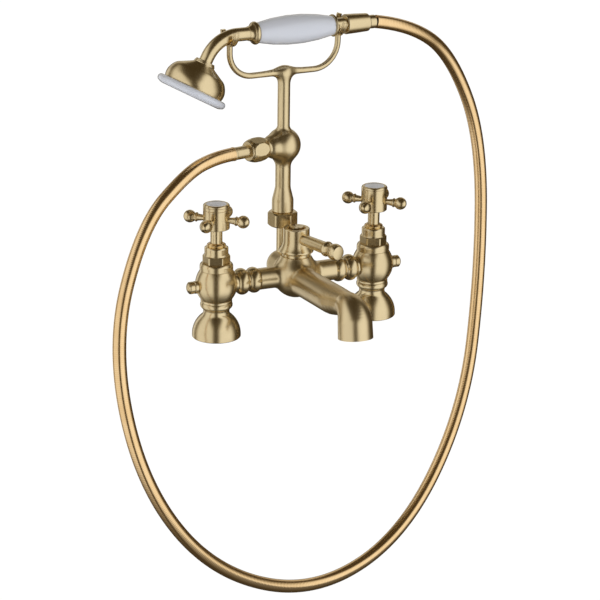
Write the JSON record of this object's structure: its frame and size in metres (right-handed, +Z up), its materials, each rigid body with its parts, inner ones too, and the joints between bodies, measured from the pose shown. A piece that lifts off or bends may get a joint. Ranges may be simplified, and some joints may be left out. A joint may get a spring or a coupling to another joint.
{
  "type": "bridge bath mixer tap",
  "caption": "Traditional deck-mounted bath and shower bridge mixer with crosshead valves, lever diverter, cradle, handset and hose.",
  "frame": {"origin": "midway between the two feet, on the deck face that they stand on", "axes": "+X along the bridge from the hot side to the cold side, -Y out over the bath where the spout points, +Z up"},
  "size_m": [0.4913, 0.2485, 0.612],
  "materials": {
    "satin_brass": "brushed satin, lacquered",
    "polished_brass": "polished",
    "aged_brass": "coppery satin",
    "glazed_ceramic": "white glaze",
    "white_disc": "white enamel",
    "hose_skin": "metallic lustre with fine rings",
    "rubber_seal": "matt",
    "moulded_plastic": "matt"
  },
  "bodies": {
    "tap_body": {"hot_pillar": "satin_brass", "cold_pillar": "satin_brass", "hot_headwork": "satin_brass", "cold_headwork": "satin_brass", "hot_bridge_tail": "satin_brass", "cold_bridge_tail": "satin_brass", "foot_seals": "rubber_seal", "plug_screws": "satin_brass", "seat_washers": "rubber_seal", "polished_rings": "polished_brass", "gland_rings": "aged_brass", "valve_housings": "satin_brass", "bridge_body": "satin_brass", "spout": "satin_brass", "flow_straightener": "moulded_plastic", "diverter_sleeve": "satin_brass", "lower_pipe": "satin_brass", "union_washer": "rubber_seal", "union_nut": "satin_brass"},
    "hot_handle": {"hot_spindle": "satin_brass", "hot_stem_sleeve": "satin_brass", "hot_hub": "satin_brass", "hot_wings": "satin_brass", "hot_index_disc": "white_disc", "hot_handle_screw": "satin_brass"},
    "cold_handle": {"cold_spindle": "satin_brass", "cold_stem_sleeve": "satin_brass", "cold_hub": "satin_brass", "cold_wings": "satin_brass", "cold_index_disc": "white_disc", "cold_handle_screw": "satin_brass"},
    "diverter": {"diverter_plug": "satin_brass", "diverter_seals": "rubber_seal", "diverter_handle": "satin_brass", "diverter_lever": "satin_brass", "diverter_cap": "satin_brass"},
    "riser": {"riser_column": "satin_brass", "cradle": "satin_brass", "cradle_forks": "satin_brass", "hose_nut": "satin_brass", "branch_washer": "rubber_seal", "hose_sleeve": "satin_brass", "hose": "hose_skin"},
    "handset": {"porcelain_grip": "glazed_ceramic", "neck_collar": "satin_brass", "rose_neck": "satin_brass", "rose_bell": "satin_brass", "rose_face_ring": "glazed_ceramic", "spray_plate": "satin_brass", "inner_tube": "moulded_plastic", "grip_cap": "satin_brass", "cone_nut": "satin_brass", "hose_ferrule": "satin_brass"}
  },
  "joints": [
    {"name": "hot_turn", "type": "hinge", "parent": "tap_body", "child": "hot_handle", "pos_m": [-0.09, 0, 0.1], "axis": [0, 0, 1], "range_deg": [0, 90]},
    {"name": "cold_turn", "type": "hinge", "parent": "tap_body", "child": "cold_handle", "pos_m": [0.09, 0, 0.1], "axis": [0, 0, 1], "range_deg": [-90, 0]},
    {"name": "diverter_turn", "type": "hinge", "parent": "tap_body", "child": "diverter", "pos_m": [0, 0, 0.0978], "axis": [0, 0, 1], "range_deg": [-13, 77]},
    {"name": "riser_swivel", "type": "hinge", "parent": "tap_body", "child": "riser", "pos_m": [0, 0.035, 0.1075], "axis": [0, 0, 1], "range_deg": [-30, 30]},
    {"name": "handset_lift", "type": "slide", "parent": "riser", "child": "handset", "axis": [0, 0, 1], "range_m": [0, 0.1]}
  ]
}
